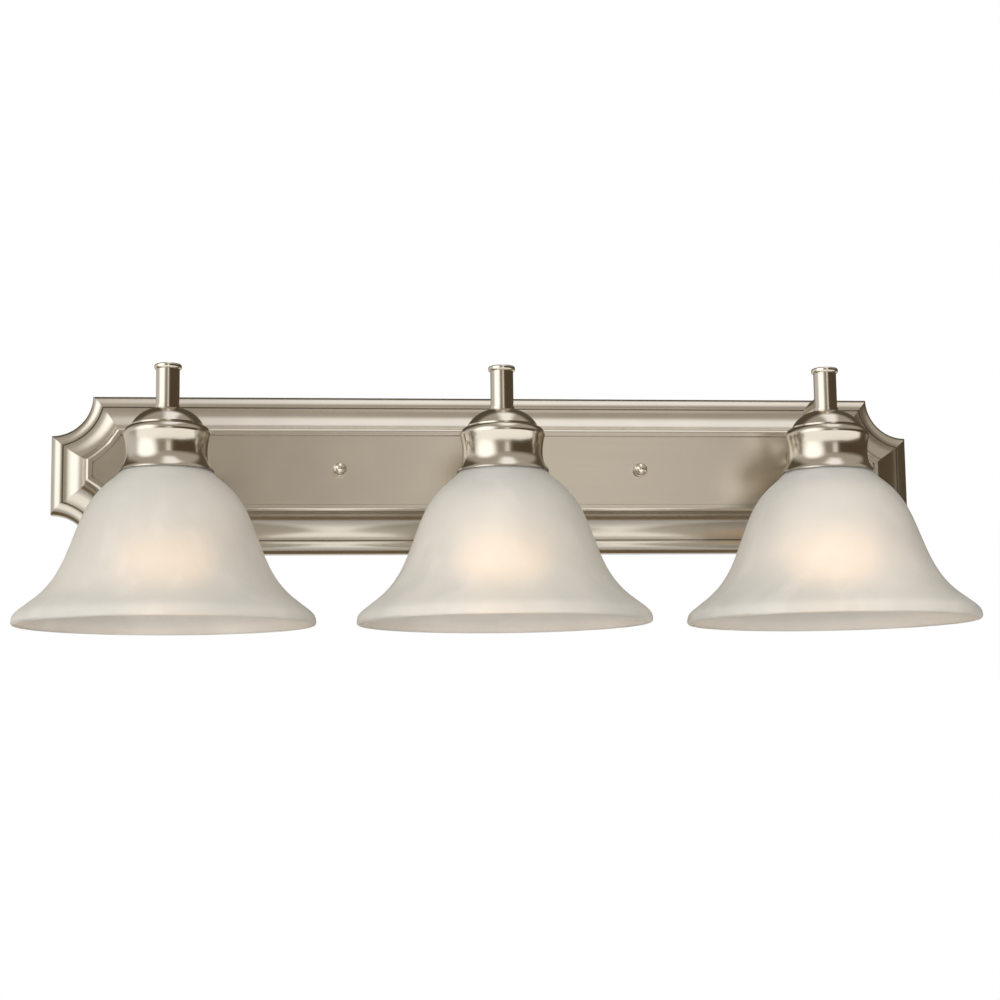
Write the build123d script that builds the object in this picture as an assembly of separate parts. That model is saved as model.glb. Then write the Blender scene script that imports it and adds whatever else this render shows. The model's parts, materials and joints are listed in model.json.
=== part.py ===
from build123d import *
import math
import os

# Vanity light bar: three glass bells on a pressed backplate, which hangs on a crossbar.
# +Z is up, the wall is the plane Y = 0, and the light reaches towards -Y.
# The origin is on the wall, midway between the two box screws.

# Gaps between pieces
THREAD_GAP = 0.05
SEAT_GAP = 0.3
HOLE_GAP = 0.3
CUT = 5.0

# Backplate: a sheet pan with a rounded border, a groove, a cove, a bead and a sunk panel
PLATE_MARGIN = 89.0
PLATE_HEIGHT = 111.5
PLATE_SHEET = 1.0
SCOOP_R = 28.0
SKIRT_HEIGHT = 6.0
BORDER_R = 8.4
GROOVE_WIDTH = 0.9
GROOVE_DEPTH = 0.9
COVE_R = 17.2
BEAD_WALL = 1.4
BEAD_R = 2.6
BEAD_WIDTH = 4.9
PANEL_RECESS = 1.4

# Crossbar with its studs, nuts and ball nuts
BAR_LENGTH = 236.0
BAR_WIDTH = 20.0
BAR_THICKNESS = 1.6
BAR_FLAT_LENGTH = 170.0
BAR_JOGGLE_RUN = 7.0
BAR_JOGGLE_RISE = 6.0
BOX_SLOT_SPACING = 79.4
BOX_SLOT_LENGTH = 13.9
BOX_SLOT_WIDTH = 4.4
STUD_SPACING = 210.0
STUD_R = 2.1
STUD_TAIL = 2.0
STUD_GRIP = 6.0
STUD_NUT_FLATS = 8.7
STUD_NUT_HEIGHT = 3.2
BALL_R = 4.75
BALL_FOOT_R = 3.2

# Ground screw, connectors and leads
GROUND_X = 62.0
GROUND_SHANK_R = 1.9
GROUND_HEAD_R = 4.3
GROUND_HEAD_HEIGHT = 3.0
GROUND_WIRE_R = 0.85
LEAD_R = 1.0
LEAD_OFFSET = 1.4
LEAD_BEND_R = 5.0
LEAD_END_BEND_R = 2.0
CONNECTOR_MOUTH_R = 6.5
CONNECTOR_TIP_R = 3.5
CONNECTOR_LENGTH = 18.0
CONNECTOR_BORE_R = 3.2
CONNECTOR_BORE_DEPTH = 10.0
CONNECTOR_MOUTH_Z = -14.0
CONNECTOR_X = 22.0
BLACK_CONNECTOR_Y = -15.5
WHITE_CONNECTOR_Y = -12.0
LEAD_RUN_Z = 18.0

# Lights: place, arm, post and cap
LIGHT_SPACING = 216.0
LIGHT_REACH = 122.0
ARM_R = 6.0
ARM_BORE_R = 4.9
ARM_ROOT_Z = 10.0
ARM_ROOT_RUN = 12.0
ARM_TOP_RUN = 22.0
ARM_LIFT = 0.5
NIPPLE_R = 4.85
NIPPLE_BORE_R = 3.25
NIPPLE_GRIP = 10.0
NIPPLE_TAIL = 12.0
ARM_WASHER_R = 8.0
ARM_WASHER_THICKNESS = 1.0
ARM_NUT_FLATS = 14.0
ARM_NUT_HEIGHT = 5.0
POST_R = 7.5
POST_BORE_R = 6.3
POST_LENGTH = 25.7
POST_FOOT = 4.5
POST_COLLAR_R = 8.1
POST_COLLAR_HEIGHT = 2.0
CAP_R = 8.8
CAP_HEIGHT = 3.3
CAP_PLUG = 4.0
CAP_ROUND = 1.2

# Holder: a spun cup, measured down from its top
HOLDER_TOP_Z = 26.5
HOLDER_SHEET = 1.0
HOLDER_HEIGHT = 40.8
DOME_FLAT_R = 8.5
DOME_FOOT_R = 22.9
DOME_DROP = 10.5
DOME_BULGE = 2.1
STEP_WIDTH = 1.0
STEP_DROP = 1.2
COLLAR_WIDTH = 3.6
COLLAR_DROP = 6.0
COLLAR_BULGE = 1.5
WAIST_INSET = 1.3
FLARE_WIDTH = 3.0
FLARE_HEIGHT = 9.8
LIP_WIDTH = 1.0
LIP_HEIGHT = 2.2

# Lampholder, measured down from the holder's top
BUSH_R = 8.0
BUSH_LENGTH = 8.0
SOCKET_CAP_R = 17.0
SOCKET_CAP_WALL = 1.8
SOCKET_CAP_LENGTH = 15.5
SOCKET_NIPPLE_LENGTH = 17.0
CHAMBER_HEIGHT = 6.5
SOCKET_FLOOR = 6.5
SHOULDER_THICKNESS = 3.0
SHOULDER_DROP = 37.5
BARREL_R = 19.5
BARREL_LENGTH = 15.0
SHELL_R = 13.95
SHELL_WALL = 0.6
SHELL_LIP_R = 9.0
SHELL_END = 1.5
CONTACT_R = 5.0
CONTACT_THICKNESS = 1.2
RIVET_R = 1.8
RIVET_HEAD_R = 3.0
RIVET_HEAD_HEIGHT = 0.8
TERMINAL_X = 9.6
TERMINAL_HEAD_R = 2.8
TERMINAL_HEAD_HEIGHT = 2.0
TERMINAL_SHANK_R = 1.6
TERMINAL_SHANK = 4.0
TERMINAL_LEAD_X = 5.2

# Shade and its ring
SHADE_HOLE_R = 21.0
SHADE_NECK_ROUND = 3.0
SHADE_RIM_R = 95.2
SHADE_HEIGHT = 101.9
SHADE_WALL = 3.2
RING_R = 24.3
RING_FLANGE = 2.0
RING_COLLAR_R = 21.8
RING_HEIGHT = 6.0
RING_NOTCHES = 8
RING_NOTCH_R = 1.6

# Bulb, measured down from its contact
BULB_BASE_R = 13.03
BULB_BASE_LENGTH = 24.0
BULB_CONE = 2.2
BULB_CONE_R = 6.5
BULB_TIP_R = 4.6
BULB_TIP_HEIGHT = 1.4
BULB_THREAD_PITCH = 3.63
BULB_THREAD_DEPTH = 0.8
BULB_THREADS = 5
BULB_NECK_R = 12.4
BULB_LENGTH = 104.0
BULB_R = 30.0
BULB_WALL = 1.0

# Bell curve of the shade: share of the drop, share of the widening
BELL = [(0.1, 0.157), (0.22, 0.3), (0.36, 0.397), (0.55, 0.501), (0.67, 0.583), (0.81, 0.739), (0.92, 0.938)]

LIGHTS = {"left": -1, "center": 0, "right": 1}

# Places that follow from the sizes
PLATE_LENGTH = 2 * (LIGHT_SPACING + PLATE_MARGIN)
BORDER_TOP = SKIRT_HEIGHT + BORDER_R
COVE_START = BORDER_R + GROOVE_WIDTH
COVE_END = COVE_START + COVE_R
COVE_TOP = BORDER_TOP + COVE_R
PLATE_DEPTH = COVE_TOP + BEAD_WALL + BEAD_R
PANEL_FRONT = PLATE_DEPTH - PANEL_RECESS
PANEL_BACK = PANEL_FRONT - PLATE_SHEET
PANEL_INSET = COVE_END + BEAD_WIDTH
BAR_END_FRONT = BAR_JOGGLE_RISE + BAR_THICKNESS
ARM_TOP_Z = HOLDER_TOP_Z + ARM_LIFT + ARM_R
POST_TOP_Z = HOLDER_TOP_Z + POST_LENGTH
COLLAR_LOW_R = DOME_FOOT_R + STEP_WIDTH + COLLAR_WIDTH
WAIST_R = COLLAR_LOW_R - WAIST_INSET
FLARE_R = WAIST_R + FLARE_WIDTH
LIP_R = FLARE_R + LIP_WIDTH
SHOULDER_R = WAIST_R - HOLDER_SHEET - HOLE_GAP
SHADE_NECK_R = LIP_R - HOLDER_SHEET - 2 * SEAT_GAP
SOCKET_TOP_Z = HOLDER_TOP_Z - HOLDER_SHEET
CAP_PLATE_Z = SOCKET_TOP_Z - BUSH_LENGTH
CHAMBER_TOP_Z = CAP_PLATE_Z - SOCKET_CAP_WALL
FLOOR_TOP_Z = CHAMBER_TOP_Z - CHAMBER_HEIGHT
FLOOR_LOW_Z = FLOOR_TOP_Z - SOCKET_FLOOR
LEDGE_Z = CAP_PLATE_Z - SOCKET_CAP_LENGTH
SHOULDER_LOW_Z = HOLDER_TOP_Z - SHOULDER_DROP
BARREL_END_Z = SHOULDER_LOW_Z - BARREL_LENGTH
SHADE_TOP_Z = SHOULDER_LOW_Z - SEAT_GAP
BULB_TOP_Z = FLOOR_LOW_Z - CONTACT_THICKNESS - SEAT_GAP


def front(height):
    """Plane parallel to the wall, with X to the right and Z up, facing the room."""
    return Plane((0, -height, 0), x_dir=(1, 0, 0), z_dir=(0, -1, 0))


def along_y(x, z, radius, near, far):
    """Round bar square to the wall, from one distance off the wall to another."""
    return extrude(front(near) * Pos(x, z) * Circle(radius), far - near)


def spun(outline):
    """Solid turned about Z from a closed outline of points (radius, height)."""
    face = make_face(Polyline(*outline, close=True))
    return revolve(Plane.XZ * face, Axis.Z)


def tube(path, radius):
    """Round bar along a path."""
    start = Plane(path @ 0, z_dir=path % 0)
    return sweep(start * Circle(radius), path)


def hexagon(flats):
    return RegularPolygon(flats / 2, 6, major_radius=False)


# Backplate
def outer_moulding():
    """Face side of the moulding, as (inset, height), without groove and panel."""
    skirt = Line((0, -CUT), (0, SKIRT_HEIGHT))
    border = CenterArc((BORDER_R, SKIRT_HEIGHT), BORDER_R, 180, -90)
    shelf = Line(border @ 1, (COVE_START, BORDER_TOP))
    cove = CenterArc((COVE_START, COVE_TOP), COVE_R, -90, 90)
    wall = Line(cove @ 1, (COVE_END, COVE_TOP + BEAD_WALL))
    bead = CenterArc((COVE_END + BEAD_R, COVE_TOP + BEAD_WALL), BEAD_R, 180, -90)
    return [skirt, border, shelf, cove, wall, bead]


def inner_moulding():
    """Wall side of the moulding, one sheet below the face."""
    shelf_height = BORDER_TOP - GROOVE_DEPTH - PLATE_SHEET
    border_r = BORDER_R - PLATE_SHEET
    border_rise = math.degrees(math.asin((shelf_height - SKIRT_HEIGHT) / border_r))
    cove_r = COVE_R + PLATE_SHEET
    cove_lead = math.degrees(math.asin(PLATE_SHEET / cove_r))
    skirt = Line((PLATE_SHEET, -CUT), (PLATE_SHEET, SKIRT_HEIGHT))
    border = CenterArc((BORDER_R, SKIRT_HEIGHT), border_r, 180, -border_rise)
    cove = CenterArc((COVE_START, COVE_TOP), cove_r, -90 + cove_lead, 90 - cove_lead)
    shelf = Line(border @ 1, (COVE_START + PLATE_SHEET, shelf_height))
    riser = Line(shelf @ 1, cove @ 0)
    wall = Line(cove @ 1, (COVE_END + PLATE_SHEET, PANEL_BACK))
    return [skirt, border, shelf, riser, cove, wall]


def outside(moulding, reach):
    """Face that holds all the room outside a moulding."""
    first = moulding[0] @ 0
    last = moulding[-1] @ 1
    roof = PLATE_DEPTH + CUT
    closing = Polyline((last.X, last.Y), (last.X, roof), (-reach, roof), (-reach, first.Y), (first.X, first.Y))
    return make_face(moulding + list(closing.edges()))


def moulded_block(moulding, back, top):
    """Block with the moulding round its four sides and its four scooped corners."""
    half_length = PLATE_LENGTH / 2
    half_height = PLATE_HEIGHT / 2
    block = extrude(front(-back) * Rectangle(PLATE_LENGTH, PLATE_HEIGHT), back + top)
    side = outside(moulding, CUT)
    corner = Pos(SCOOP_R, 0) * outside(moulding, SCOOP_R)
    for sign in (-1, 1):
        rail = Plane((0, 0, sign * half_height), x_dir=(0, 0, -sign), z_dir=(-sign, 0, 0))
        end = Plane((sign * half_length, 0, 0), x_dir=(-sign, 0, 0), z_dir=(0, 0, sign))
        block -= extrude(rail * side, half_length + CUT, both=True)
        block -= extrude(end * side, half_height + CUT, both=True)
    for x in (-half_length, half_length):
        for z in (-half_height, half_height):
            turn = Plane((x, 0, z), x_dir=(1, 0, 0), z_dir=(0, 0, -1))
            block -= revolve(turn * corner, Axis((x, 0, z), (0, 1, 0)))
    return block


def plate_outline(inset):
    """Outline of the backplate, drawn in by one inset all round."""
    outline = Rectangle(PLATE_LENGTH - 2 * inset, PLATE_HEIGHT - 2 * inset)
    for x in (-PLATE_LENGTH / 2, PLATE_LENGTH / 2):
        for z in (-PLATE_HEIGHT / 2, PLATE_HEIGHT / 2):
            outline -= Pos(x, z) * Circle(SCOOP_R + inset)
    return outline


def make_backplate():
    plate = moulded_block(outer_moulding(), 0, PLATE_DEPTH)
    groove = plate_outline(BORDER_R) - plate_outline(COVE_START)
    plate -= extrude(front(BORDER_TOP - GROOVE_DEPTH) * groove, GROOVE_DEPTH)
    plate -= extrude(front(PANEL_FRONT) * plate_outline(PANEL_INSET), PANEL_RECESS + CUT)
    plate -= moulded_block(inner_moulding(), CUT, PANEL_BACK)
    for x in (-STUD_SPACING / 2, STUD_SPACING / 2):
        plate -= along_y(x, 0, STUD_R + HOLE_GAP, PANEL_BACK - CUT, PLATE_DEPTH)
    for sign in LIGHTS.values():
        x = sign * LIGHT_SPACING
        plate -= along_y(x, ARM_ROOT_Z, NIPPLE_R + HOLE_GAP, PANEL_BACK - CUT, PLATE_DEPTH)
    return plate


# Crossbar and what it carries
def make_crossbar():
    half = BAR_LENGTH / 2
    flat = BAR_FLAT_LENGTH / 2
    bend = flat + BAR_JOGGLE_RUN
    rise = BAR_JOGGLE_RISE
    wall_side = [(-half, -rise), (-bend, -rise), (-flat, 0), (flat, 0), (bend, -rise), (half, -rise)]
    room_side = [(x, y - BAR_THICKNESS) for x, y in reversed(wall_side)]
    strip = make_face(Polyline(*wall_side, *room_side, close=True))
    bar = extrude(strip, BAR_WIDTH / 2, both=True)
    bar &= extrude(front(-CUT) * SlotOverall(BAR_LENGTH, BAR_WIDTH), BAR_END_FRONT + 2 * CUT)
    for sign in (-1, 1):
        slot = Pos(sign * BOX_SLOT_SPACING / 2, 0) * SlotOverall(BOX_SLOT_LENGTH, BOX_SLOT_WIDTH)
        bar -= extrude(front(-CUT) * slot, BAR_THICKNESS + 2 * CUT)
        bar -= along_y(sign * STUD_SPACING / 2, 0, STUD_R + THREAD_GAP, -CUT, BAR_END_FRONT + CUT)
    return bar - along_y(GROUND_X, 0, GROUND_SHANK_R + THREAD_GAP, -CUT, BAR_THICKNESS + CUT)


def make_studs():
    near = BAR_JOGGLE_RISE - STUD_TAIL
    far = PANEL_FRONT + STUD_GRIP
    return [along_y(x, 0, STUD_R, near, far) for x in (-STUD_SPACING / 2, STUD_SPACING / 2)]


def make_stud_nuts():
    nuts = []
    for x in (-STUD_SPACING / 2, STUD_SPACING / 2):
        nut = hexagon(STUD_NUT_FLATS) - Circle(STUD_R + THREAD_GAP)
        nuts.append(extrude(front(BAR_END_FRONT) * Pos(x, 0) * nut, STUD_NUT_HEIGHT))
    return nuts


def make_ball_nut(x):
    middle = PANEL_FRONT + math.sqrt(BALL_R ** 2 - BALL_FOOT_R ** 2)
    ball = Pos(x, -middle, 0) * Sphere(BALL_R)
    ball -= along_y(x, 0, BALL_R, PANEL_FRONT - BALL_R, PANEL_FRONT)
    return ball - along_y(x, 0, STUD_R + THREAD_GAP, PANEL_FRONT - CUT, PANEL_FRONT + STUD_GRIP + SEAT_GAP)


def make_ground_screw():
    head_seat = BAR_THICKNESS + 2 * (GROUND_WIRE_R + THREAD_GAP)
    shank = along_y(GROUND_X, 0, GROUND_SHANK_R, 0, head_seat)
    head = hexagon(2 * GROUND_HEAD_R)
    return shank + extrude(front(head_seat) * Pos(GROUND_X, 0) * head, GROUND_HEAD_HEIGHT)


def ground_wire_x():
    return GROUND_X + GROUND_SHANK_R + THREAD_GAP + GROUND_WIRE_R


def make_ground_wire():
    x = ground_wire_x()
    y = -BAR_THICKNESS - THREAD_GAP - GROUND_WIRE_R
    drop = (CONNECTOR_MOUTH_Z - BAR_WIDTH / 4) / 2
    bore_end = CONNECTOR_MOUTH_Z - CONNECTOR_BORE_DEPTH
    points = [(x, y, GROUND_HEAD_R), (x, y, drop), (x, WHITE_CONNECTOR_Y, CONNECTOR_MOUTH_Z)]
    points.append((x, WHITE_CONNECTOR_Y, bore_end))
    return tube(FilletPolyline(*points, radius=LEAD_BEND_R * 0.8), GROUND_WIRE_R)


def make_connectors():
    tip = CONNECTOR_MOUTH_Z - CONNECTOR_LENGTH
    bore_end = CONNECTOR_MOUTH_Z - CONNECTOR_BORE_DEPTH
    outline = [
        (0, tip),
        (CONNECTOR_TIP_R, tip),
        (CONNECTOR_MOUTH_R, CONNECTOR_MOUTH_Z),
        (CONNECTOR_BORE_R, CONNECTOR_MOUTH_Z),
        (CONNECTOR_BORE_R, bore_end),
        (0, bore_end),
    ]
    connector = spun(outline)
    places = [
        (-CONNECTOR_X, BLACK_CONNECTOR_Y),
        (CONNECTOR_X, WHITE_CONNECTOR_Y),
        (ground_wire_x(), WHITE_CONNECTOR_Y),
    ]
    return [Pos(x, y, 0) * connector for x, y in places]


# Arms, posts and leads
def arm_path(x):
    """Arm from the panel to the post's axis: two straights and an S of two equal arcs."""
    rise = ARM_TOP_Z - ARM_ROOT_Z
    bend_start = PANEL_FRONT + ARM_ROOT_RUN
    bend_run = LIGHT_REACH - ARM_TOP_RUN - bend_start
    bend_r = (bend_run ** 2 + rise ** 2) / (4 * rise)
    turn = math.degrees(math.asin(bend_run / (2 * bend_r)))
    root = Line((PANEL_FRONT, ARM_ROOT_Z), (bend_start, ARM_ROOT_Z))
    first = JernArc(root @ 1, (1, 0), bend_r, turn)
    second = JernArc(first @ 1, first % 1, bend_r, -turn)
    top = Line(second @ 1, (LIGHT_REACH, ARM_TOP_Z))
    side = Plane((x, 0, 0), x_dir=(0, -1, 0), z_dir=(-1, 0, 0))
    return [side * edge for edge in (root, first, second, top)]


def make_post():
    foot = HOLDER_TOP_Z
    outline = [
        (NIPPLE_R + THREAD_GAP, foot),
        (POST_COLLAR_R, foot),
        (POST_COLLAR_R, foot + POST_COLLAR_HEIGHT),
        (POST_R, foot + POST_COLLAR_HEIGHT),
        (POST_R, POST_TOP_Z),
        (POST_BORE_R, POST_TOP_Z),
        (POST_BORE_R, foot + POST_FOOT),
        (NIPPLE_R + THREAD_GAP, foot + POST_FOOT),
    ]
    mouth = Plane((0, 0, ARM_TOP_Z), x_dir=(1, 0, 0), z_dir=(0, 1, 0)) * Circle(ARM_BORE_R)
    return spun(outline) - extrude(mouth, POST_R + CUT)


def make_post_cap():
    outline = [
        (0, POST_TOP_Z - CAP_PLUG),
        (POST_BORE_R - THREAD_GAP, POST_TOP_Z - CAP_PLUG),
        (POST_BORE_R - THREAD_GAP, POST_TOP_Z),
        (CAP_R, POST_TOP_Z),
        (CAP_R, POST_TOP_Z + CAP_HEIGHT),
        (0, POST_TOP_Z + CAP_HEIGHT),
    ]
    cap = spun(outline)
    rim = cap.edges().filter_by(GeomType.CIRCLE).filter_by(lambda edge: edge.radius > POST_R)
    return fillet(rim, min(CAP_ROUND, 0.45 * CAP_HEIGHT))


def make_arm(x):
    path = Wire(arm_path(x))
    arm = tube(path, ARM_R) - tube(path, ARM_BORE_R)
    solid_post = [
        (0, HOLDER_TOP_Z),
        (POST_COLLAR_R, HOLDER_TOP_Z),
        (POST_COLLAR_R, HOLDER_TOP_Z + POST_COLLAR_HEIGHT),
        (POST_R, HOLDER_TOP_Z + POST_COLLAR_HEIGHT),
        (POST_R, POST_TOP_Z),
        (0, POST_TOP_Z),
    ]
    return arm - Pos(x, -LIGHT_REACH, 0) * spun(solid_post)


def make_arm_hardware(x):
    nipple = Pos(x, ARM_ROOT_Z) * (Circle(NIPPLE_R) - Circle(NIPPLE_BORE_R))
    washer = Pos(x, ARM_ROOT_Z) * (Circle(ARM_WASHER_R) - Circle(NIPPLE_R + THREAD_GAP))
    nut = Pos(x, ARM_ROOT_Z) * (hexagon(ARM_NUT_FLATS) - Circle(NIPPLE_R + THREAD_GAP))
    washer_back = PANEL_BACK - ARM_WASHER_THICKNESS
    return [
        extrude(front(PANEL_FRONT - NIPPLE_TAIL) * nipple, NIPPLE_TAIL + NIPPLE_GRIP),
        extrude(front(washer_back) * washer, ARM_WASHER_THICKNESS),
        extrude(front(washer_back - ARM_NUT_HEIGHT) * nut, ARM_NUT_HEIGHT),
    ]


def lead_in_plate(x, side, sign, connector_x, connector_y):
    """Points of a lead behind the panel, from the arm to its connector."""
    bore_end = CONNECTOR_MOUTH_Z - CONNECTOR_BORE_DEPTH
    spread = LEAD_R * 1.6
    y = connector_y + (side * LEAD_R * 0.9 if sign else -side * LEAD_R * 1.85)
    start = [(x, -PANEL_FRONT, ARM_ROOT_Z), (x, y, ARM_ROOT_Z)]
    if sign == 0:
        return start + [(connector_x, y, CONNECTOR_MOUTH_Z + CONNECTOR_BORE_DEPTH), (connector_x, y, bore_end)]
    drop_x = connector_x + sign * spread
    climb_x = x - sign * 2 * (LEAD_RUN_Z - ARM_ROOT_Z)
    return start + [(climb_x, y, LEAD_RUN_Z), (drop_x, y, LEAD_RUN_Z), (drop_x, y, bore_end)]


def make_lead(sign, side, connector_x, connector_y):
    """Lead from a terminal up the nipple, through post and arm, to its connector."""
    toward = side if sign == 0 else side * sign
    x = sign * LIGHT_SPACING + toward * LEAD_OFFSET
    terminal_x = sign * LIGHT_SPACING + toward * TERMINAL_LEAD_X
    nipple_end = HOLDER_TOP_Z - SOCKET_NIPPLE_LENGTH + POST_FOOT
    up = [
        (terminal_x, -LIGHT_REACH, FLOOR_TOP_Z),
        (terminal_x, -LIGHT_REACH, FLOOR_TOP_Z + TERMINAL_HEAD_HEIGHT),
        (x, -LIGHT_REACH, nipple_end),
        (x, -LIGHT_REACH, ARM_TOP_Z),
        (x, -LIGHT_REACH + ARM_TOP_RUN, ARM_TOP_Z),
    ]
    riser = FilletPolyline(*up, radius=[LEAD_END_BEND_R, LEAD_END_BEND_R, LEAD_BEND_R])
    bends = arm_path(x)[:3]
    back = FilletPolyline(*lead_in_plate(x, side, sign, connector_x, connector_y), radius=LEAD_BEND_R)
    path = Wire(list(riser.edges()) + bends[1:] + [bends[0]] + list(back.edges()))
    return tube(path, LEAD_R)


# Holder and lampholder, on the light's own axis
def holder_line(sheet):
    """Points and arcs of the cup's outside, or of its inside one sheet below."""
    foot = HOLDER_TOP_Z - DOME_DROP
    step = foot - STEP_DROP - sheet
    low = foot - STEP_DROP - COLLAR_DROP
    edge = HOLDER_TOP_Z - HOLDER_HEIGHT
    flat = Line((NIPPLE_R + HOLE_GAP, HOLDER_TOP_Z - sheet), (DOME_FLAT_R, HOLDER_TOP_Z - sheet))
    dome = SagittaArc(flat @ 1, (DOME_FOOT_R - sheet, foot), DOME_BULGE)
    ledge = Polyline(dome @ 1, (DOME_FOOT_R - sheet, step), (DOME_FOOT_R + STEP_WIDTH - sheet, step))
    collar = SagittaArc(ledge @ 1, (COLLAR_LOW_R - sheet, low), COLLAR_BULGE)
    waist = TangentArc(collar @ 1, (WAIST_R - sheet, edge + FLARE_HEIGHT), tangent=collar % 1)
    flare = TangentArc(waist @ 1, (FLARE_R - sheet, edge + LIP_HEIGHT), tangent=waist % 1)
    lip = TangentArc(flare @ 1, (LIP_R - sheet, edge), tangent=flare % 1)
    return [flat, dome, *ledge.edges(), collar, waist, flare, lip]


def make_holder():
    outer = holder_line(0)
    inner = holder_line(HOLDER_SHEET)
    top = Line(outer[0] @ 0, inner[0] @ 0)
    edge = Line(outer[-1] @ 1, inner[-1] @ 1)
    return revolve(Plane.XZ * make_face(outer + inner + [top, edge]), Axis.Z)


def make_holder_nipple():
    top = HOLDER_TOP_Z + POST_FOOT
    low = top - SOCKET_NIPPLE_LENGTH
    return spun([(NIPPLE_BORE_R, low), (NIPPLE_R, low), (NIPPLE_R, top), (NIPPLE_BORE_R, top)])


def make_socket_cap():
    bore = NIPPLE_R + THREAD_GAP
    inner = SOCKET_CAP_R - SOCKET_CAP_WALL
    outline = [
        (bore, SOCKET_TOP_Z),
        (BUSH_R, SOCKET_TOP_Z),
        (BUSH_R, CAP_PLATE_Z),
        (SOCKET_CAP_R, CAP_PLATE_Z),
        (SOCKET_CAP_R, LEDGE_Z),
        (inner, LEDGE_Z),
        (inner, CHAMBER_TOP_Z),
        (bore, CHAMBER_TOP_Z),
    ]
    return spun(outline)


def make_socket_body():
    plug = SOCKET_CAP_R - SOCKET_CAP_WALL - THREAD_GAP
    shoulder_top = SHOULDER_LOW_Z + SHOULDER_THICKNESS
    shell_room = SHELL_R + THREAD_GAP
    outline = [
        (RIVET_R + THREAD_GAP, FLOOR_TOP_Z),
        (plug, FLOOR_TOP_Z),
        (plug, LEDGE_Z),
        (SOCKET_CAP_R, LEDGE_Z),
        (SOCKET_CAP_R, shoulder_top),
        (SHOULDER_R, shoulder_top),
        (SHOULDER_R, SHOULDER_LOW_Z),
        (BARREL_R, SHOULDER_LOW_Z),
        (BARREL_R, BARREL_END_Z),
        (shell_room, BARREL_END_Z),
        (shell_room, FLOOR_LOW_Z),
        (RIVET_R + THREAD_GAP, FLOOR_LOW_Z),
    ]
    body = spun(outline)
    for x in (-TERMINAL_X, TERMINAL_X):
        hole = Plane((x, 0, FLOOR_TOP_Z)) * Circle(TERMINAL_SHANK_R + THREAD_GAP)
        body -= extrude(hole, -TERMINAL_SHANK)
    return body


def make_screw_shell():
    inner = SHELL_R - SHELL_WALL
    low = BARREL_END_Z + SHELL_END
    outline = [
        (SHELL_LIP_R, FLOOR_LOW_Z),
        (SHELL_R, FLOOR_LOW_Z),
        (SHELL_R, low),
        (inner, low),
        (inner, FLOOR_LOW_Z - SHELL_WALL),
        (SHELL_LIP_R, FLOOR_LOW_Z - SHELL_WALL),
    ]
    return spun(outline)


def make_center_contact():
    head = FLOOR_TOP_Z + RIVET_HEAD_HEIGHT
    low = FLOOR_LOW_Z - CONTACT_THICKNESS
    outline = [
        (0, low),
        (CONTACT_R, low),
        (CONTACT_R, FLOOR_LOW_Z),
        (RIVET_R, FLOOR_LOW_Z),
        (RIVET_R, FLOOR_TOP_Z),
        (RIVET_HEAD_R, FLOOR_TOP_Z),
        (RIVET_HEAD_R, head),
        (0, head),
    ]
    return spun(outline)


def make_terminal_screws():
    head = FLOOR_TOP_Z + TERMINAL_HEAD_HEIGHT
    low = FLOOR_TOP_Z - TERMINAL_SHANK
    outline = [
        (0, low),
        (TERMINAL_SHANK_R, low),
        (TERMINAL_SHANK_R, FLOOR_TOP_Z),
        (TERMINAL_HEAD_R, FLOOR_TOP_Z),
        (TERMINAL_HEAD_R, head),
        (0, head),
    ]
    return [Pos(x, 0, 0) * spun(outline) for x in (-TERMINAL_X, TERMINAL_X)]


# Shade, ring and bulb, on the light's own axis
def make_shade():
    neck_z = SHADE_TOP_Z - SHADE_NECK_ROUND
    rim_z = SHADE_TOP_Z - SHADE_HEIGHT
    drop = neck_z - rim_z - SHADE_WALL / 2
    widening = SHADE_RIM_R - SHADE_NECK_R
    points = [(SHADE_NECK_R, neck_z)]
    points += [(SHADE_NECK_R + wide * widening, neck_z - deep * drop) for deep, wide in BELL]
    points.append((SHADE_RIM_R, neck_z - drop))
    outer = Spline(*points, tangents=[(0.8, -1), (0, -1)])
    steps = 2 * len(BELL)
    inner_points = []
    for step in range(steps + 1):
        place = outer @ (step / steps)
        heading = outer % (step / steps)
        inner_points.append((place.X + heading.Y * SHADE_WALL, place.Y - heading.X * SHADE_WALL))
    inner = Spline(*inner_points)
    under = inner_points[0]
    round_top = CenterArc((SHADE_NECK_R - SHADE_NECK_ROUND, neck_z), SHADE_NECK_ROUND, 0, 90)
    plate = Polyline(round_top @ 1, (SHADE_HOLE_R, SHADE_TOP_Z), (SHADE_HOLE_R, under[1]), under)
    rim = ThreePointArc(outer @ 1, (SHADE_RIM_R - SHADE_WALL / 2, rim_z), inner @ 1)
    outline = make_face([outer, inner, round_top, rim, *plate.edges()])
    return revolve(Plane.XZ * outline, Axis.Z), under[1]


def make_shade_ring(shade_under):
    top = shade_under - SEAT_GAP
    bore = BARREL_R + 2 * THREAD_GAP
    outline = [
        (bore, top),
        (RING_R, top),
        (RING_R, top - RING_FLANGE),
        (RING_COLLAR_R, top - RING_FLANGE),
        (RING_COLLAR_R, top - RING_HEIGHT),
        (bore, top - RING_HEIGHT),
    ]
    notch = Plane((RING_R, 0, top + CUT)) * Circle(RING_NOTCH_R)
    notches = PolarLocations(0, RING_NOTCHES) * extrude(notch, -2 * CUT)
    return spun(outline) - notches


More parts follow.
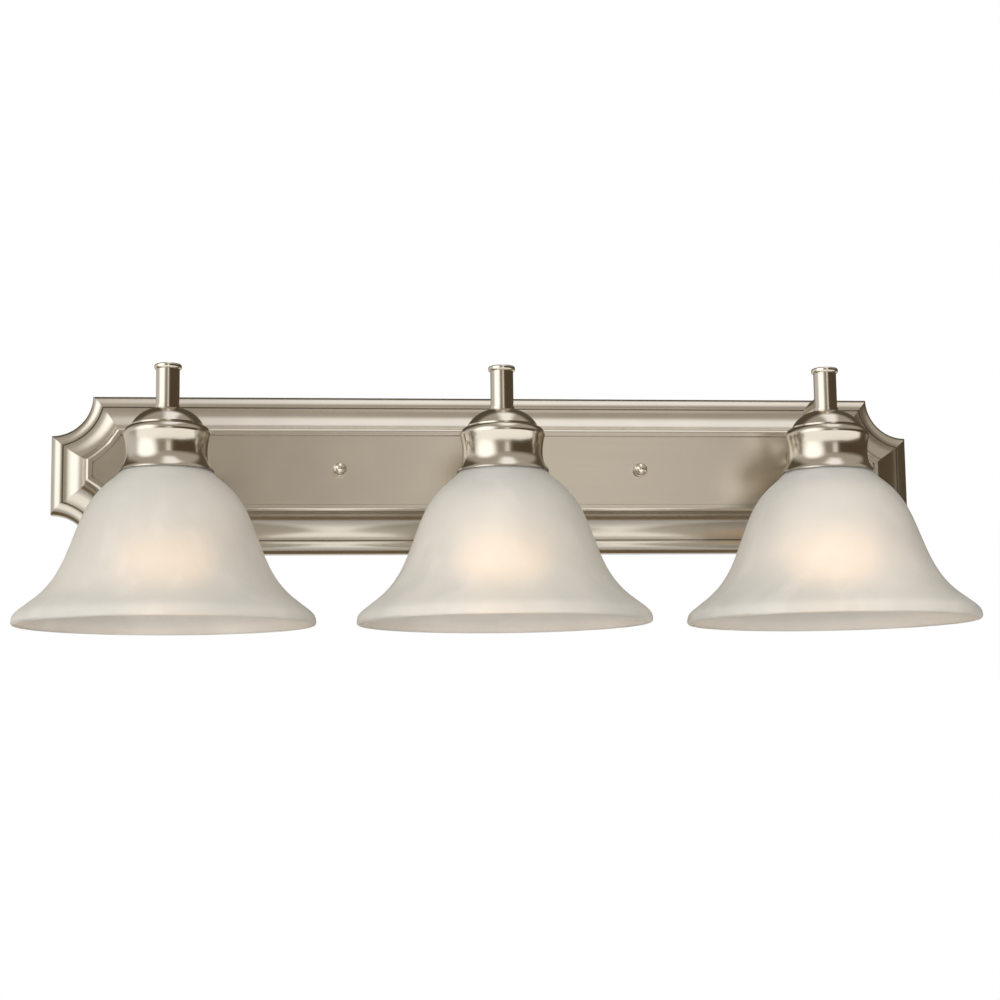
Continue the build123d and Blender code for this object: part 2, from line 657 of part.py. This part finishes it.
def make_bulb_base():
    cone_top = BULB_TOP_Z - BULB_TIP_HEIGHT
    shell_top = cone_top - BULB_CONE
    low = shell_top - BULB_BASE_LENGTH
    base = spun([(0, cone_top), (BULB_CONE_R, cone_top), (BULB_BASE_R, shell_top), (BULB_BASE_R, low), (0, low)])
    groove = BULB_BASE_R + BULB_THREAD_PITCH / 4
    for turn in range(BULB_THREADS):
        middle = shell_top - BULB_THREAD_PITCH * (turn + 0.75)
        base -= Pos(0, 0, middle) * Torus(groove, BULB_THREAD_PITCH / 4 + BULB_THREAD_DEPTH)
    return base


def make_bulb_tip():
    low = BULB_TOP_Z - BULB_TIP_HEIGHT
    tip = spun([(0, low), (BULB_TIP_R, low), (BULB_TIP_R, BULB_TOP_Z), (0, BULB_TOP_Z)])
    rim = tip.edges().filter_by(GeomType.CIRCLE).sort_by(Axis.Z)[-1]
    return fillet(rim, 0.6 * BULB_TIP_HEIGHT)


def bulb_volume(inset):
    """Solid pear of the bulb, drawn in by a wall."""
    neck_z = BULB_TOP_Z - BULB_TIP_HEIGHT - BULB_CONE - BULB_BASE_LENGTH
    middle_z = BULB_TOP_Z - BULB_LENGTH + BULB_R
    neck = (BULB_NECK_R - inset, neck_z)
    belly = (BULB_R - inset, middle_z)
    side = Spline(neck, belly, tangents=[(0.12, -1), (0, -1)], tangent_scalars=[0.8, 1.3])
    globe = CenterArc((0, middle_z), BULB_R - inset, 0, -90)
    closing = Polyline(globe @ 1, (0, neck_z), neck)
    return revolve(Plane.XZ * make_face([side, globe, *closing.edges()]), Axis.Z)


def make_bulb_glass():
    return bulb_volume(0) - bulb_volume(BULB_WALL)


# Every node and its solids
def make_nodes():
    nodes = {
        "backplate": make_backplate(),
        "crossbar": make_crossbar(),
        "crossbar_studs": make_studs(),
        "stud_nuts": make_stud_nuts(),
        "ball_nut_left": make_ball_nut(-STUD_SPACING / 2),
        "ball_nut_right": make_ball_nut(STUD_SPACING / 2),
        "ground_screw": make_ground_screw(),
        "ground_wire": make_ground_wire(),
        "wire_connectors": make_connectors(),
    }
    signs = LIGHTS.values()
    nodes["black_leads"] = [make_lead(s, -1, -CONNECTOR_X, BLACK_CONNECTOR_Y) for s in signs]
    nodes["white_leads"] = [make_lead(s, 1, CONNECTOR_X, WHITE_CONNECTOR_Y) for s in signs]
    hardware = [make_arm_hardware(sign * LIGHT_SPACING) for sign in signs]
    for index, name in enumerate(["arm_nipples", "arm_washers", "arm_nuts"]):
        nodes[name] = [pieces[index] for pieces in hardware]
    shade, shade_under = make_shade()
    turned = {
        "post": make_post(),
        "post_cap": make_post_cap(),
        "holder": make_holder(),
        "socket_cap": make_socket_cap(),
        "socket_body": make_socket_body(),
        "screw_shell": make_screw_shell(),
        "center_contact": make_center_contact(),
        "shade": shade,
        "shade_ring": make_shade_ring(shade_under),
        "bulb_base": make_bulb_base(),
        "bulb_tip": make_bulb_tip(),
        "bulb_glass": make_bulb_glass(),
    }
    nodes["holder_nipples"] = []
    nodes["terminal_screws"] = []
    for light, sign in LIGHTS.items():
        place = Pos(sign * LIGHT_SPACING, -LIGHT_REACH, 0)
        nodes["arm_" + light] = make_arm(sign * LIGHT_SPACING)
        nodes["holder_nipples"].append(place * make_holder_nipple())
        nodes["terminal_screws"] += [place * screw for screw in make_terminal_screws()]
        for name, piece in turned.items():
            nodes[name + "_" + light] = place * piece
    return nodes


os.makedirs("parts", exist_ok=True)
for node, made in make_nodes().items():
    piece = Part() + made if isinstance(made, list) else made
    export_step(piece, "parts/" + node + ".step")
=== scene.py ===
import json
import math

import bpy
from mathutils import Matrix, Vector

# Looks of a vanity light bar: satin nickel, white frosted glass and lit bulbs in a white studio.
# Metres, in the part's own frame: +X right, +Y into the wall, +Z up.

# Camera of the photograph: angles in radians, focal length as a share of the picture's width
CAMERA_PLACE = Vector((-0.1180, -1.3404, -0.1947))
CAMERA_YAW = 0.0948
CAMERA_PITCH = 0.1317
CAMERA_ROLL = -0.0124
FOCAL_SHARE = 1.9013
SENSOR_WIDTH = 36.0
NEAR_CLIP = 0.01

# Floor: white to the camera, and dimmer towards the wall where metal mirrors it
FLOOR_Z = -1.10
FLOOR_SIZE = 30.0
FLOOR_PALE = (0.90, 0.89, 0.87, 1)
FLOOR_MIRRORED = (1.15, 1.12, 1.06, 1)
FLOOR_FADE = {"low": -0.18, "high": -1.28, "out_low": 0.45, "out_high": 1.0}
WHITE = (1, 1, 1, 1)

# Soft lamps
LAMPS = {
    "key_left": {"place": (-1.7, -1.5, 0.7), "size": (1.9, 2.2), "watts": 5},
    "fill_front": {"place": (-0.9, -2.4, -0.15), "size": (1.4, 1.0), "watts": 20},
    "fill_right": {"place": (1.5, -1.9, 0.2), "size": (1.2, 1.2), "watts": 10},
    "fill_above": {"place": (-0.2, -1.0, 1.5), "size": (2.0, 1.0), "watts": 3},
}

# Studio that metal and glass reflect, painted over the front's colour in this order
# A region fades in over ranges of the direction's X, Y and Z, or of how near it is to the key
STUDIO_FRONT = (0.30, 0.265, 0.205, 1)
KEY_TOWARD = (-0.80, -0.53, 0.27)
STUDIO_REGIONS = {
    "left": ((0.62, 0.60, 0.56, 1), [("X", -0.25, -0.65)]),
    "right": ((0.09, 0.065, 0.04, 1), [("X", 0.16, 0.45)]),
    "high": ((0.44, 0.40, 0.34, 1), [("Z", 0.26, 0.52)]),
    "overhead_card": ((1.15, 1.13, 1.12, 1), [("X", -0.20, 0.02), ("X", 0.42, 0.24), ("Z", 0.66, 0.90)]),
    "below": ((0.17, 0.12, 0.07, 1), [("Z", 0.0, -0.30)]),
    "low_rear": ((0.66, 0.64, 0.60, 1), [("Z", 0.08, -0.08), ("Z", -0.58, -0.38), ("Y", 0.40, 0.70)]),
    "front_card": (
        (0.92, 0.87, 0.79, 1),
        [("X", -0.04, 0.10), ("X", 0.30, 0.17), ("Z", -0.08, 0.06), ("Z", 0.44, 0.26), ("Y", 0.0, -0.2)],
    ),
    "behind": ((0.10, 0.08, 0.055, 1), [("Y", 0.14, 0.45), ("X", -0.85, -0.55), ("Z", 0.08, 0.35)]),
    "key": ((1.55, 1.54, 1.50, 1), [("key", 0.78, 0.98)]),
}

# Range that most of a noise lies in
NOISE_LOW, NOISE_HIGH = 0.3, 0.7

# Metals: colour, range of roughness, grain (cycles per metre along X, Y, Z), anisotropy, depth of grain
NICKEL = (0.74, 0.69, 0.61, 1)
POLISHED_NICKEL = (0.86, 0.81, 0.72, 1)
ZINC = (0.58, 0.60, 0.62, 1)
BRASS = (0.75, 0.53, 0.22, 1)
COPPER = (0.76, 0.40, 0.24, 1)
ALUMINIUM = (0.80, 0.80, 0.80, 1)
GRAIN_ALONG_X = (10, 1100, 1100)
GRAIN_AROUND_Z = (14, 14, 1300)
GRAIN_EVEN = (700, 700, 700)
FINE_CUT = 0.000002
SPUN_CUT = 0.000005
PLAIN_CUT = 0.00002
METALS = {
    "satin_nickel": (NICKEL, (0.222, 0.238), GRAIN_ALONG_X, 0.2, FINE_CUT),
    "spun_nickel": (NICKEL, (0.15, 0.18), GRAIN_AROUND_Z, 0.2, SPUN_CUT),
    "polished_nickel": (POLISHED_NICKEL, (0.09, 0.11), GRAIN_EVEN, 0.0, FINE_CUT),
    "zinc_steel": (ZINC, (0.30, 0.46), GRAIN_EVEN, 0.0, PLAIN_CUT),
    "bulb_metal": (ALUMINIUM, (0.24, 0.36), GRAIN_AROUND_Z, 0.0, PLAIN_CUT),
    "brass": (BRASS, (0.22, 0.36), GRAIN_EVEN, 0.0, PLAIN_CUT),
    "copper": (COPPER, (0.28, 0.42), GRAIN_EVEN, 0.0, PLAIN_CUT),
}
GRAIN_RANGE = (0.25, 0.75)
GRAIN_BUMP = 0.12
PLATING_CLOUD_SCALE = 22.0
PLATING_TINTS = (0.95, 1.03)
PLATING_ROUGH = {"low": 0.35, "high": 0.7, "out_low": -0.01, "out_high": 0.015}
# Painted shade: metal darkens towards this colour in crevices, grooves and joints between parts, where
# ambient occlusion finds nearby surfaces
CREVICE_SHADE = (0.10, 0.07, 0.045, 1)
CREVICE_SHADE_REACH = 0.002
CREVICE_SHADE_RANGE = (0.35, 0.75)
CREVICE_SHADE_SAMPLES = 8

# Satin nickel nodes that are turned on a lathe or drawn as tube, so their grain runs round
TURNED = ("post_", "holder_", "arm_left", "arm_center", "arm_right")

# Plastics: colour and roughness
PLASTICS = {
    "socket_plastic": ((0.030, 0.026, 0.022, 1), 0.34),
    "ring_plastic": ((0.034, 0.030, 0.026, 1), 0.38),
    "connector_plastic": ((0.72, 0.20, 0.03, 1), 0.42),
    "black_insulation": ((0.022, 0.022, 0.022, 1), 0.48),
    "white_insulation": ((0.76, 0.76, 0.73, 1), 0.48),
}
MOTTLE_SCALE = 60.0
MOTTLE_TINTS = (0.86, 1.1)
MOTTLE_ROUGH = (-0.05, 0.06)
SKIN_SCALE = 1800.0
SKIN_BUMP = 0.2
SKIN_DEPTH = 0.00004
PLASTIC_IOR = 1.5

# Frosted glass of the shades
FROST_DARK = (0.775, 0.77, 0.735, 1)
FROST_LIGHT = (0.87, 0.85, 0.805, 1)
FROST_VEIN = (0.91, 0.895, 0.86, 1)
FROST_CLOUD_SCALE = 16.0
FROST_CLOUD_RANGE = (0.35, 0.68)
FROST_VEIN_SCALE = 45.0
FROST_VEIN_STRETCH = (1, 1, 0.5)
FROST_VEIN_SHARE = {"low": 0.5, "high": 0.72, "out_low": 0.0, "out_high": 0.5}
FROST_GRIT_SCALE = 1500.0
FROST_GRIT_BUMP = 0.08
FROST_GRIT_DEPTH = 0.00003
FROST_ROUGH = (0.43, 0.51)
FROST_IOR = 1.3
FROST_TRANSMISSION = 0.42

# Lit bulb: its glow grows from the shoulder down to the belly and falls again to the crown
BULB_GLASS = (0.95, 0.92, 0.86, 1)
BULB_ROUGH = 0.25
BULB_GLOW = (1.0, 0.54, 0.20, 1)
BULB_SHOULDER = {"low": -0.042, "high": -0.076, "out_low": 0.15, "out_high": 1.95}
BULB_CROWN = {"low": -0.106, "high": -0.080, "out_low": 0.3, "out_high": 1.0}

# Green lacquer of the ground screw
LACQUER = (0.02, 0.18, 0.05, 1)
LACQUER_WEAR_SCALE = 420.0
LACQUER_WORN = (0.62, 0.72)
LACQUER_WORN_TINT = 0.8
LACQUER_BUMP = 0.15
LACQUER_DEPTH = 0.00005
LACQUER_ROUGH = (0.3, 0.42)

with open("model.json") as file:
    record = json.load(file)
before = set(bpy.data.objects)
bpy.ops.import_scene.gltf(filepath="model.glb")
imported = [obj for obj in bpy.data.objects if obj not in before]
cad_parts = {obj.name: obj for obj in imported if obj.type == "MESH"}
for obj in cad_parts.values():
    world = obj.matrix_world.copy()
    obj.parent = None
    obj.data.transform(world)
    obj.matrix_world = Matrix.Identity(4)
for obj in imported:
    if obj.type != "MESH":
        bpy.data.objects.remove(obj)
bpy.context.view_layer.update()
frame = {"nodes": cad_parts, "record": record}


class Graph:
    """Adds nodes to a shader tree and links them."""

    def __init__(self, owner):
        owner.use_nodes = True
        self.tree = owner.node_tree
        self.tree.nodes.clear()

    def add(self, kind, inputs=None, **settings):
        node = self.tree.nodes.new("ShaderNode" + kind)
        for name, value in settings.items():
            setattr(node, name, value)
        for name, value in (inputs or {}).items():
            self.feed(node.inputs[name], value)
        return node

    def feed(self, socket, value):
        if isinstance(value, bpy.types.NodeSocket):
            self.tree.links.new(value, socket)
        else:
            socket.default_value = value

    def math(self, operation, first, second):
        return self.add("Math", {0: first, 1: second}, operation=operation).outputs[0]

    def product(self, values):
        total = values[0]
        for value in values[1:]:
            total = self.math("MULTIPLY", total, value)
        return total

    def span(self, value, low, high, out_low=0.0, out_high=1.0):
        """Maps one range to another with a smooth step."""
        inputs = {"Value": value, "From Min": low, "From Max": high, "To Min": out_low, "To Max": out_high}
        return self.add("MapRange", inputs, interpolation_type="SMOOTHSTEP").outputs["Result"]

    def spread(self, noise, out_low=0.0, out_high=1.0):
        """Stretches a noise over a range."""
        return self.span(noise, NOISE_LOW, NOISE_HIGH, out_low, out_high)

    def mix(self, share, first, second):
        return self.add("MixRGB", {"Fac": share, "Color1": first, "Color2": second}).outputs["Color"]

    def place(self):
        return self.add("TexCoord").outputs["Object"]

    def noise(self, scale, detail, stretch=(1, 1, 1)):
        where = self.add("Mapping", {"Vector": self.place(), "Scale": stretch})
        inputs = {"Vector": where.outputs["Vector"], "Scale": scale, "Detail": detail}
        return self.add("TexNoise", inputs).outputs["Fac"]

    def bump(self, height, strength, depth):
        inputs = {"Height": height, "Strength": strength, "Distance": depth}
        return self.add("Bump", inputs).outputs["Normal"]

    def surface(self, shader):
        output = self.add("OutputMaterial")
        self.tree.links.new(shader.outputs[0], output.inputs["Surface"])


def shaded(color, factor):
    """Colour made lighter or darker by a factor."""
    return tuple(min(1.0, part * factor) for part in color[:3]) + (1,)


def tinted(color, factors):
    """Shades of one colour."""
    return [shaded(color, factor) for factor in factors]


# Materials
def metal(name, color, rough, grain, anisotropy, cut):
    """Plated metal with a fine grain, a faint cloud in its colour and painted shade in its crevices."""
    made = bpy.data.materials.new(name)
    graph = Graph(made)
    streaks = graph.noise(1.0, detail=2.0, stretch=grain)
    cloud = graph.noise(PLATING_CLOUD_SCALE, detail=3.0)
    grain_rough = graph.span(streaks, *GRAIN_RANGE, *rough)
    cloud_rough = graph.span(cloud, **PLATING_ROUGH)
    plating = graph.mix(graph.spread(cloud), *tinted(color, PLATING_TINTS))
    # Painted shade: ambient occlusion darkens crevices, grooves and joints between parts towards the
    # crevice shade colour
    corners = graph.add("AmbientOcclusion", {"Distance": CREVICE_SHADE_REACH}, samples=CREVICE_SHADE_SAMPLES)
    openness = graph.span(corners.outputs["AO"], *CREVICE_SHADE_RANGE)
    inputs = {
        "Base Color": graph.mix(openness, CREVICE_SHADE, plating),
        "Metallic": 1.0,
        "Roughness": graph.math("ADD", grain_rough, cloud_rough),
        "Anisotropic": anisotropy,
        "Normal": graph.bump(streaks, GRAIN_BUMP, cut),
    }
    graph.surface(graph.add("BsdfPrincipled", inputs))
    return made


def plastic(name, color, rough):
    """Moulded plastic with a fine skin and slight mottling."""
    made = bpy.data.materials.new(name)
    graph = Graph(made)
    mottle = graph.noise(MOTTLE_SCALE, detail=4.0)
    skin = graph.noise(SKIN_SCALE, detail=2.0)
    smoother, rougher = MOTTLE_ROUGH
    inputs = {
        "Base Color": graph.mix(graph.spread(mottle), *tinted(color, MOTTLE_TINTS)),
        "Roughness": graph.spread(mottle, rough + smoother, rough + rougher),
        "IOR": PLASTIC_IOR,
        "Normal": graph.bump(skin, SKIN_BUMP, SKIN_DEPTH),
    }
    graph.surface(graph.add("BsdfPrincipled", inputs))
    return made


def frosted_glass(name):
    """White glass with faint alabaster clouds, which lets the bulb glow through."""
    made = bpy.data.materials.new(name)
    graph = Graph(made)
    cloud = graph.noise(FROST_CLOUD_SCALE, detail=5.0)
    veins = graph.noise(FROST_VEIN_SCALE, detail=6.0, stretch=FROST_VEIN_STRETCH)
    grit = graph.noise(FROST_GRIT_SCALE, detail=2.0)
    body = graph.mix(graph.span(cloud, *FROST_CLOUD_RANGE), FROST_DARK, FROST_LIGHT)
    inputs = {
        "Base Color": graph.mix(graph.span(veins, **FROST_VEIN_SHARE), body, FROST_VEIN),
        "Roughness": graph.spread(grit, *FROST_ROUGH),
        "IOR": FROST_IOR,
        "Transmission Weight": FROST_TRANSMISSION,
        "Normal": graph.bump(grit, FROST_GRIT_BUMP, FROST_GRIT_DEPTH),
    }
    graph.surface(graph.add("BsdfPrincipled", inputs))
    return made


def lit_glass(name):
    """Soft white bulb that is switched on, brightest at its belly."""
    made = bpy.data.materials.new(name)
    graph = Graph(made)
    height = graph.add("SeparateXYZ", {0: graph.place()}).outputs["Z"]
    shoulder = graph.span(height, **BULB_SHOULDER)
    crown = graph.span(height, **BULB_CROWN)
    inputs = {
        "Base Color": BULB_GLASS,
        "Roughness": BULB_ROUGH,
        "Emission Color": BULB_GLOW,
        "Emission Strength": graph.product([shoulder, crown]),
    }
    graph.surface(graph.add("BsdfPrincipled", inputs))
    return made


def lacquered(name, color):
    """Lacquer on a screw, with bare metal where it is worn."""
    made = bpy.data.materials.new(name)
    graph = Graph(made)
    wear = graph.noise(LACQUER_WEAR_SCALE, detail=4.0)
    worn = graph.span(wear, *LACQUER_WORN)
    inputs = {
        "Base Color": graph.mix(worn, color, shaded(ZINC, LACQUER_WORN_TINT)),
        "Metallic": worn,
        "Roughness": graph.spread(wear, *LACQUER_ROUGH),
        "Normal": graph.bump(wear, LACQUER_BUMP, LACQUER_DEPTH),
    }
    graph.surface(graph.add("BsdfPrincipled", inputs))
    return made


looks = {name: metal(name, *facts) for name, facts in METALS.items()}
looks.update({name: plastic(name, *facts) for name, facts in PLASTICS.items()})
looks["frosted_glass"] = frosted_glass("frosted_glass")
looks["bulb_glass"] = lit_glass("bulb_glass")
looks["green_screw"] = lacquered("green_screw", LACQUER)

for part in frame["record"]["subparts"]:
    node = frame["nodes"][part["node"]]
    look = part["material_slot"]
    if look == "satin_nickel" and part["node"].startswith(TURNED):
        look = "spun_nickel"
    for holder in node.material_slots:
        holder.material = looks[look]


# Studio
def make_world():
    """White for the camera and through glass, and the painted studio for all other rays."""
    world = bpy.data.worlds.new("studio")
    bpy.context.scene.world = world
    graph = Graph(world)
    where = graph.add("TexCoord").outputs["Generated"]
    axes = graph.add("SeparateXYZ", {0: where})
    values = {axis: axes.outputs[axis] for axis in ("X", "Y", "Z")}
    facing = graph.add("VectorMath", {0: where, 1: KEY_TOWARD}, operation="DOT_PRODUCT")
    values["key"] = facing.outputs["Value"]
    color = STUDIO_FRONT
    for tone, fades in STUDIO_REGIONS.values():
        share = graph.product([graph.span(values[name], start, full) for name, start, full in fades])
        color = graph.mix(share, color, tone)
    room = graph.add("Background", {"Color": color, "Strength": 1.0})
    white = graph.add("Background", {"Color": WHITE, "Strength": 1.0})
    path = graph.add("LightPath").outputs
    seen = graph.math("MAXIMUM", path["Is Camera Ray"], path["Is Transmission Ray"])
    both = graph.add("MixShader", {0: seen, 1: room.outputs[0], 2: white.outputs[0]})
    output = graph.add("OutputWorld")
    graph.tree.links.new(both.outputs[0], output.inputs["Surface"])


def make_floor():
    """Pale floor in front of the wall, which the camera, metal and glass see as white."""
    mesh = bpy.data.meshes.new("floor")
    half = FLOOR_SIZE / 2
    corners = [(-half, -half, FLOOR_Z), (half, -half, FLOOR_Z), (half, 0, FLOOR_Z), (-half, 0, FLOOR_Z)]
    mesh.from_pydata(corners, [], [(0, 1, 2, 3)])
    floor = bpy.data.objects.new("floor", mesh)
    bpy.context.collection.objects.link(floor)
    made = bpy.data.materials.new("floor")
    graph = Graph(made)
    pale = graph.add("BsdfDiffuse", {"Color": FLOOR_PALE})
    path = graph.add("LightPath").outputs
    ahead = graph.add("SeparateXYZ", {0: graph.place()}).outputs["Y"]
    level = graph.math("MAXIMUM", path["Is Camera Ray"], graph.span(ahead, **FLOOR_FADE))
    tint = graph.mix(path["Is Camera Ray"], FLOOR_MIRRORED, WHITE)
    white = graph.add("Emission", {"Color": tint, "Strength": level})
    seen = graph.math("MAXIMUM", path["Is Camera Ray"], path["Is Glossy Ray"])
    seen = graph.math("MAXIMUM", seen, path["Is Transmission Ray"])
    graph.surface(graph.add("MixShader", {0: seen, 1: pale.outputs[0], 2: white.outputs[0]}))
    mesh.materials.append(made)


def add_lamp(name, place, size, watts):
    """Soft box that faces the light bar and shows neither to the camera nor in metal."""
    data = bpy.data.lights.new(name, "AREA")
    data.shape = "ELLIPSE"
    data.size, data.size_y = size
    data.energy = watts
    lamp = bpy.data.objects.new(name, data)
    lamp.location = place
    lamp.rotation_euler = (-Vector(place)).to_track_quat("-Z", "Y").to_euler()
    lamp.visible_camera = False
    lamp.visible_glossy = False
    bpy.context.collection.objects.link(lamp)


def make_camera():
    """Camera that was fitted to the photograph's edges."""
    data = bpy.data.cameras.new("camera")
    data.sensor_fit = "HORIZONTAL"
    data.sensor_width = SENSOR_WIDTH
    data.lens = FOCAL_SHARE * SENSOR_WIDTH
    data.clip_start = NEAR_CLIP
    camera = bpy.data.objects.new("camera", data)
    ahead = Vector((math.sin(CAMERA_YAW), math.cos(CAMERA_YAW), 0))
    right = Vector((math.cos(CAMERA_YAW), -math.sin(CAMERA_YAW), 0))
    above = Vector((0, 0, 1))
    sight = ahead * math.cos(CAMERA_PITCH) + above * math.sin(CAMERA_PITCH)
    up = above * math.cos(CAMERA_PITCH) - ahead * math.sin(CAMERA_PITCH)
    rolled_right = right * math.cos(CAMERA_ROLL) + up * math.sin(CAMERA_ROLL)
    rolled_up = up * math.cos(CAMERA_ROLL) - right * math.sin(CAMERA_ROLL)
    turn = Matrix((rolled_right, rolled_up, -sight)).transposed()
    camera.matrix_world = Matrix.Translation(CAMERA_PLACE) @ turn.to_4x4()
    bpy.context.collection.objects.link(camera)
    bpy.context.scene.camera = camera


make_world()
make_floor()
for name, lamp in LAMPS.items():
    add_lamp(name, **lamp)
make_camera()
bpy.context.scene.view_settings.view_transform = "Standard"
